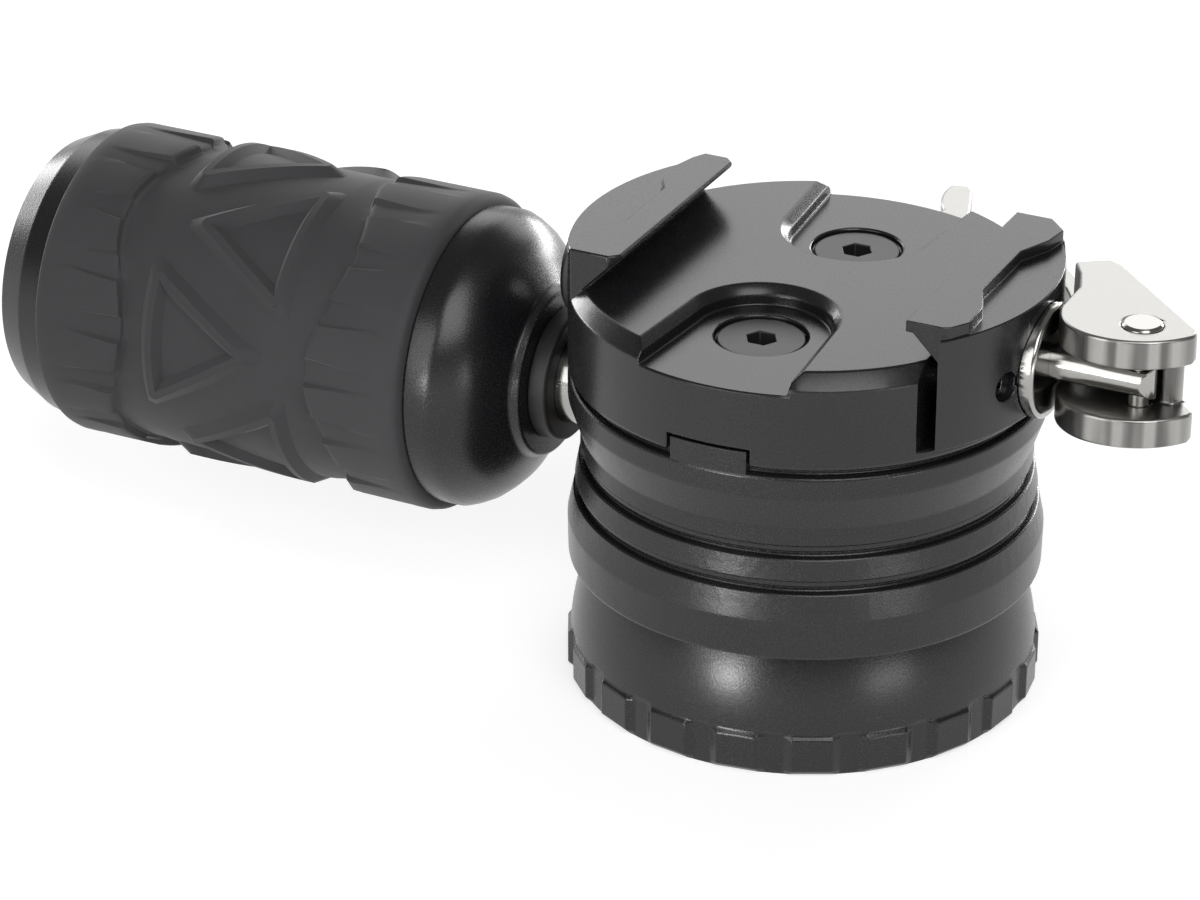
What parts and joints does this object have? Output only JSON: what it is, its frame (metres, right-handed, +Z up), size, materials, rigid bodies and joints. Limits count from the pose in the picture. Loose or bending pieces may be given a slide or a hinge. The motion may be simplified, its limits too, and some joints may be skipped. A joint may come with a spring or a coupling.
{
  "type": "tripod head",
  "caption": "Half-ball levelling tripod head with a rubber grip lock handle on its side and a lever-operated dovetail clamp on top.",
  "frame": {"origin": "centre of the base's bottom face, at the mouth of the tripod thread", "axes": "+Z up, +X towards the clamp's lever, the handle points along -X, the clamp's channel runs along Y"},
  "size_m": [0.1382, 0.0629, 0.052],
  "materials": {
    "black_anodised": "black anodised, satin",
    "steel": "zinc plated",
    "stainless": "polished stainless",
    "black_steel": "black oxide",
    "bronze": "turned",
    "black_plastic": "matte",
    "rubber": "matte"
  },
  "bodies": {
    "base": {"ball_base": "black_anodised", "base_plate": "black_anodised", "base_plate_screws": "steel", "tripod_bushing": "stainless"},
    "lean_ring": {"opening_ring": "black_plastic"},
    "stack": {"draw_stud": "steel", "inner_cup": "bronze", "cup_spring_washers": "steel", "cup_nut": "steel", "press_ring": "bronze"},
    "housing": {"housing": "black_anodised", "rim_liner": "black_plastic", "shaft_bush": "bronze", "clamp_body": "black_anodised", "clamp_screws": "black_steel", "cross_rod": "stainless", "rod_nut": "black_steel", "jaw_springs": "steel"},
    "plunger": {"lock_plunger": "steel"},
    "handle": {"handle_shaft": "stainless", "handle_collar": "black_plastic", "handle_cone": "black_anodised", "handle_core": "black_anodised", "rubber_grip": "rubber", "end_cap": "black_anodised", "cap_screw": "black_steel"},
    "jaw": {"movable_jaw": "black_anodised", "guide_screws": "black_steel", "cam_washer": "stainless"},
    "lever": {"clamp_lever": "stainless", "lever_pin": "stainless"}
  },
  "joints": [
    {"name": "lean_direction", "type": "hinge", "parent": "base", "child": "lean_ring", "pos_m": [0, 0, 0.003], "axis": [0, 0, 1], "continuous": true},
    {"name": "tilt", "type": "hinge", "parent": "lean_ring", "child": "stack", "pos_m": [0, 0, 0.003], "axis": [0, 1, 0], "range_deg": [-20, 20]},
    {"name": "pan", "type": "hinge", "parent": "stack", "child": "housing", "pos_m": [0, 0, 0.003], "axis": [0, 0, 1], "continuous": true},
    {"name": "lock_travel", "type": "slide", "parent": "housing", "child": "plunger", "axis": [1, 0, 0], "range_m": [0, 0.00076]},
    {"name": "handle_twist", "type": "hinge", "parent": "plunger", "child": "handle", "pos_m": [-0.03, 0, 0.029], "axis": [1, 0, 0], "range_deg": [0, 180]},
    {"name": "jaw_slide", "type": "slide", "parent": "housing", "child": "jaw", "axis": [1, 0, 0], "range_m": [0, 0.00301], "deforming": ["jaw_springs"]},
    {"name": "lever_swing", "type": "hinge", "parent": "housing", "child": "lever", "pos_m": [0.0378, 0, 0.043], "axis": [0, 0, -1], "range_deg": [0, 95]}
  ],
  "couplings": [
    {"joint": "lock_travel", "follows": "handle_twist", "m_per_rad": 0.00023873},
    {"joint": "jaw_slide", "follows": "lever_swing", "m_per_rad": 0.0018093}
  ]
}
